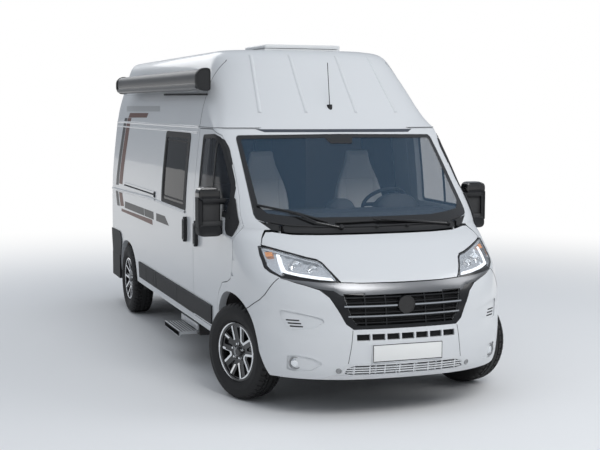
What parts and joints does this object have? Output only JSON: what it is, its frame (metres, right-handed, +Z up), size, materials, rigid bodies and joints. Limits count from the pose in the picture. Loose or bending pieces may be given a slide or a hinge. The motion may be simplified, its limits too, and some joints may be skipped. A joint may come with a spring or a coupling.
{
  "type": "camper van",
  "caption": "High-roof panel van converted to a camper, with hinged doors, bonnet and roof hatches, sliding entry step, steered front wheels and a wind-out awning case.",
  "frame": {"origin": "centre of the bounding box's base, on the ground between the four wheels", "axes": "+Y rearwards along the vehicle, +X to the vehicle's left, +Z up"},
  "size_m": [2.41, 5.9981, 2.701],
  "materials": {
    "paint": "gloss",
    "chassis": "satin",
    "trim": "matte",
    "grille": "gloss",
    "lamp": "gloss",
    "tail_lamp": "gloss",
    "glass": "gloss",
    "hatch": "satin",
    "tyre": "matte",
    "rim": "gloss",
    "seat": "matte",
    "cabinet": "satin"
  },
  "bodies": {
    "body": {"body_right": "paint", "body_left": "paint", "roof_cap": "paint", "roof_panel": "paint", "floor_pan": "chassis", "wheelhouses": "chassis", "chassis_frame": "chassis", "wing_right": "paint", "wing_left": "paint", "scuttle": "trim", "windscreen": "glass", "front_bumper": "paint", "grille": "grille", "headlamps": "lamp", "radiator": "chassis", "sliding_door": "paint", "side_windows": "glass", "side_cladding": "trim", "rear_bumper": "trim", "tail_lamps": "tail_lamp", "aerial": "trim", "awning": "trim", "hatch_frames": "trim", "step_case": "trim", "front_suspension": "chassis", "rear_axle": "chassis", "tank_and_silencer": "chassis", "engine_block": "chassis", "dashboard": "trim", "front_seats": "seat", "cabinets": "cabinet", "rear_bed": "seat"},
    "bonnet": {"bonnet": "paint"},
    "door_right": {"door_right": "paint", "door_glass_right": "glass", "mirror_right": "trim"},
    "door_left": {"door_left": "paint", "door_glass_left": "glass", "mirror_left": "trim"},
    "rear_door_right": {"rear_door_right": "paint", "rear_glass_right": "glass"},
    "rear_door_left": {"rear_door_left": "paint", "rear_glass_left": "glass"},
    "hatch_lid_front": {"hatch_lid_front": "hatch"},
    "hatch_lid_rear": {"hatch_lid_rear": "hatch"},
    "step": {"step": "trim"},
    "steering_wheel": {"steering_wheel": "trim"},
    "knuckle_right": {"knuckle_right": "chassis"},
    "knuckle_left": {"knuckle_left": "chassis"},
    "front_wheel_right": {"front_tyre_right": "tyre", "front_rim_right": "rim"},
    "front_wheel_left": {"front_tyre_left": "tyre", "front_rim_left": "rim"},
    "rear_wheel_right": {"rear_tyre_right": "tyre", "rear_rim_right": "rim"},
    "rear_wheel_left": {"rear_tyre_left": "tyre", "rear_rim_left": "rim"}
  },
  "joints": [
    {"name": "bonnet_hinge", "type": "hinge", "parent": "body", "child": "bonnet", "pos_m": [0, -2.224, 1.285], "axis": [-1, 0, 0], "range_deg": [0, 55]},
    {"name": "door_hinge_right", "type": "hinge", "parent": "body", "child": "door_right", "pos_m": [-1.004, -2.119, 1], "axis": [0, 0, 1], "range_deg": [0, 65]},
    {"name": "door_hinge_left", "type": "hinge", "parent": "body", "child": "door_left", "pos_m": [1.004, -2.119, 1], "axis": [0, 0, -1], "range_deg": [0, 65]},
    {"name": "rear_door_hinge_right", "type": "hinge", "parent": "body", "child": "rear_door_right", "pos_m": [-0.842, 2.97, 1.4], "axis": [0, 0, 1], "range_deg": [0, 180]},
    {"name": "rear_door_hinge_left", "type": "hinge", "parent": "body", "child": "rear_door_left", "pos_m": [0.842, 2.97, 1.4], "axis": [0, 0, -1], "range_deg": [0, 180]},
    {"name": "hatch_hinge_front", "type": "hinge", "parent": "body", "child": "hatch_lid_front", "pos_m": [0, -0.149, 2.686], "axis": [-1, 0, 0], "range_deg": [0, 55]},
    {"name": "hatch_hinge_rear", "type": "hinge", "parent": "body", "child": "hatch_lid_rear", "pos_m": [0, 2.111, 2.686], "axis": [-1, 0, 0], "range_deg": [0, 55]},
    {"name": "step_slide", "type": "slide", "parent": "body", "child": "step", "axis": [1, 0, 0], "range_m": [0, 0.16]},
    {"name": "steer_right", "type": "hinge", "parent": "body", "child": "knuckle_right", "pos_m": [-0.83, -2.051, 0.36], "axis": [0, 0, 1], "range_deg": [-53, 15]},
    {"name": "steer_left", "type": "hinge", "parent": "body", "child": "knuckle_left", "pos_m": [0.83, -2.051, 0.36], "axis": [0, 0, 1], "range_deg": [-53, 15]},
    {"name": "steering_wheel_turn", "type": "hinge", "parent": "body", "child": "steering_wheel", "pos_m": [0.42, -1.569, 1.4], "axis": [0, 0.6691, 0.7431], "range_deg": [-795, 225]},
    {"name": "front_wheel_spin_right", "type": "hinge", "parent": "knuckle_right", "child": "front_wheel_right", "pos_m": [-0.90048, -2.07665, 0.36], "axis": [0.9397, 0.342, 0], "continuous": true},
    {"name": "front_wheel_spin_left", "type": "hinge", "parent": "knuckle_left", "child": "front_wheel_left", "pos_m": [0.90048, -2.02535, 0.36], "axis": [0.9397, 0.342, 0], "continuous": true},
    {"name": "rear_wheel_spin_right", "type": "hinge", "parent": "body", "child": "rear_wheel_right", "pos_m": [-0.895, 1.984, 0.36], "axis": [1, 0, 0], "continuous": true},
    {"name": "rear_wheel_spin_left", "type": "hinge", "parent": "body", "child": "rear_wheel_left", "pos_m": [0.895, 1.984, 0.36], "axis": [1, 0, 0], "continuous": true}
  ],
  "couplings": [
    {"joint": "steer_left", "follows": "steer_right", "ratio": 1},
    {"joint": "steering_wheel_turn", "follows": "steer_right", "ratio": 15}
  ]
}
